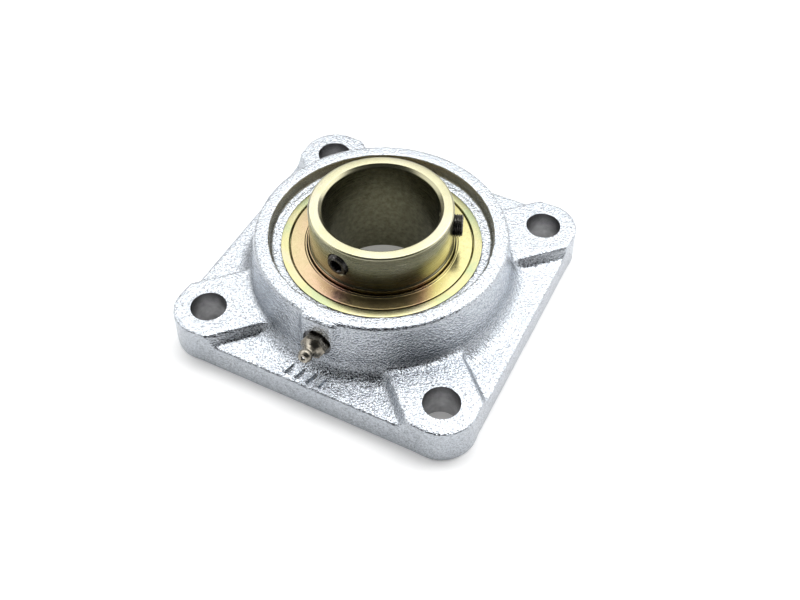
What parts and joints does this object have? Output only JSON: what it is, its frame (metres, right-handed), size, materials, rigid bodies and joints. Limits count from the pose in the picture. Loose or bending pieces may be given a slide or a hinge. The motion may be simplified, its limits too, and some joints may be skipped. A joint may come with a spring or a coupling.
{
  "type": "flange mount bearing",
  "caption": "Square cast flange bearing unit with a self-aligning ball bearing insert, set screw collar and grease nipple.",
  "frame": {"origin": "centre of the mounting face, on the shaft axis, at the bottom of the unit", "axes": "+Z along the shaft axis from the mounting face towards the collar; X and Y along the flange's straight sides, with the grease nipple on the -Y side"},
  "size_m": [0.143, 0.143, 0.0546],
  "materials": {
    "cast_plated": "bright plated rough casting",
    "zinc_yellow": "yellow chromate on turned and pressed steel",
    "collar_steel": "fine turned steel with a pale yellow passivation",
    "ball_steel": "polished hardened steel",
    "cage_steel": "plain pressed steel",
    "seal_rubber": "matt black",
    "black_oxide": "blackened steel",
    "nipple_plate": "dull brownish plated steel"
  },
  "bodies": {
    "housing": {"flange_housing": "cast_plated", "grease_nipple_body": "nipple_plate", "nipple_spring": "cage_steel"},
    "check_ball": {"nipple_check_ball": "ball_steel"},
    "pin": {"locating_pin": "ball_steel"},
    "outer_race": {"outer_ring": "zinc_yellow", "front_seal_shield": "zinc_yellow", "rear_seal_shield": "zinc_yellow", "front_seal_lip": "seal_rubber", "rear_seal_lip": "seal_rubber"},
    "inner_race": {"inner_ring": "collar_steel", "front_slinger": "zinc_yellow", "rear_slinger": "zinc_yellow"},
    "cage": {"front_cage_half": "cage_steel", "rear_cage_half": "cage_steel", "cage_rivet_01": "cage_steel", "cage_rivet_02": "cage_steel", "cage_rivet_03": "cage_steel", "cage_rivet_04": "cage_steel", "cage_rivet_05": "cage_steel", "cage_rivet_06": "cage_steel", "cage_rivet_07": "cage_steel", "cage_rivet_08": "cage_steel", "cage_rivet_09": "cage_steel", "cage_rivet_10": "cage_steel"},
    "ball_01": {"ball_01": "ball_steel"},
    "ball_02": {"ball_02": "ball_steel"},
    "ball_03": {"ball_03": "ball_steel"},
    "ball_04": {"ball_04": "ball_steel"},
    "ball_05": {"ball_05": "ball_steel"},
    "ball_06": {"ball_06": "ball_steel"},
    "ball_07": {"ball_07": "ball_steel"},
    "ball_08": {"ball_08": "ball_steel"},
    "ball_09": {"ball_09": "ball_steel"},
    "ball_10": {"ball_10": "ball_steel"},
    "screw_a": {"set_screw_a": "black_oxide"},
    "screw_b": {"set_screw_b": "black_oxide"}
  },
  "joints": [
    {"name": "insert_tilt_y", "type": "hinge", "parent": "housing", "child": "pin", "pos_m": [0, 0, 0.022], "axis": [0, 1, 0], "range_deg": [-2, 2]},
    {"name": "insert_tilt_x", "type": "hinge", "parent": "pin", "child": "outer_race", "pos_m": [0, 0, 0.022], "axis": [1, 0, 0], "range_deg": [-2, 2]},
    {"name": "shaft_spin", "type": "hinge", "parent": "outer_race", "child": "inner_race", "pos_m": [0, 0, 0.022], "axis": [0, 0, 1], "continuous": true},
    {"name": "cage_spin", "type": "hinge", "parent": "outer_race", "child": "cage", "pos_m": [0, 0, 0.022], "axis": [0, 0, 1], "continuous": true},
    {"name": "ball_01_spin", "type": "hinge", "parent": "cage", "child": "ball_01", "pos_m": [0.035, 0, 0.022], "axis": [0, 0, 1], "continuous": true},
    {"name": "ball_02_spin", "type": "hinge", "parent": "cage", "child": "ball_02", "pos_m": [0.02832, 0.02057, 0.022], "axis": [0, 0, 1], "continuous": true},
    {"name": "ball_03_spin", "type": "hinge", "parent": "cage", "child": "ball_03", "pos_m": [0.01082, 0.03329, 0.022], "axis": [0, 0, 1], "continuous": true},
    {"name": "ball_04_spin", "type": "hinge", "parent": "cage", "child": "ball_04", "pos_m": [-0.01082, 0.03329, 0.022], "axis": [0, 0, 1], "continuous": true},
    {"name": "ball_05_spin", "type": "hinge", "parent": "cage", "child": "ball_05", "pos_m": [-0.02832, 0.02057, 0.022], "axis": [0, 0, 1], "continuous": true},
    {"name": "ball_06_spin", "type": "hinge", "parent": "cage", "child": "ball_06", "pos_m": [-0.035, 0, 0.022], "axis": [0, 0, 1], "continuous": true},
    {"name": "ball_07_spin", "type": "hinge", "parent": "cage", "child": "ball_07", "pos_m": [-0.02832, -0.02057, 0.022], "axis": [0, 0, 1], "continuous": true},
    {"name": "ball_08_spin", "type": "hinge", "parent": "cage", "child": "ball_08", "pos_m": [-0.01082, -0.03329, 0.022], "axis": [0, 0, 1], "continuous": true},
    {"name": "ball_09_spin", "type": "hinge", "parent": "cage", "child": "ball_09", "pos_m": [0.01082, -0.03329, 0.022], "axis": [0, 0, 1], "continuous": true},
    {"name": "ball_10_spin", "type": "hinge", "parent": "cage", "child": "ball_10", "pos_m": [0.02832, -0.02057, 0.022], "axis": [0, 0, 1], "continuous": true},
    {"name": "set_screw_a_travel", "type": "slide", "parent": "inner_race", "child": "screw_a", "axis": [-0.1392, -0.9903, 0], "range_m": [-0.0005, 0.0035]},
    {"name": "set_screw_b_travel", "type": "slide", "parent": "inner_race", "child": "screw_b", "axis": [0.9272, 0.3746, 0], "range_m": [-0.0033, 0.001]},
    {"name": "check_ball_travel", "type": "slide", "parent": "housing", "child": "check_ball", "axis": [0, 0.9848, -0.1736], "range_m": [0, 0.0008], "stiffness_N_per_m": 100, "springref_m": -0.001, "deforming": ["nipple_spring"]}
  ],
  "couplings": [
    {"joint": "cage_spin", "follows": "shaft_spin", "ratio": 0.40929},
    {"joint": "ball_01_spin", "follows": "shaft_spin", "ratio": -2.6652},
    {"joint": "ball_02_spin", "follows": "shaft_spin", "ratio": -2.6652},
    {"joint": "ball_03_spin", "follows": "shaft_spin", "ratio": -2.6652},
    {"joint": "ball_04_spin", "follows": "shaft_spin", "ratio": -2.6652},
    {"joint": "ball_05_spin", "follows": "shaft_spin", "ratio": -2.6652},
    {"joint": "ball_06_spin", "follows": "shaft_spin", "ratio": -2.6652},
    {"joint": "ball_07_spin", "follows": "shaft_spin", "ratio": -2.6652},
    {"joint": "ball_08_spin", "follows": "shaft_spin", "ratio": -2.6652},
    {"joint": "ball_09_spin", "follows": "shaft_spin", "ratio": -2.6652},
    {"joint": "ball_10_spin", "follows": "shaft_spin", "ratio": -2.6652}
  ]
}
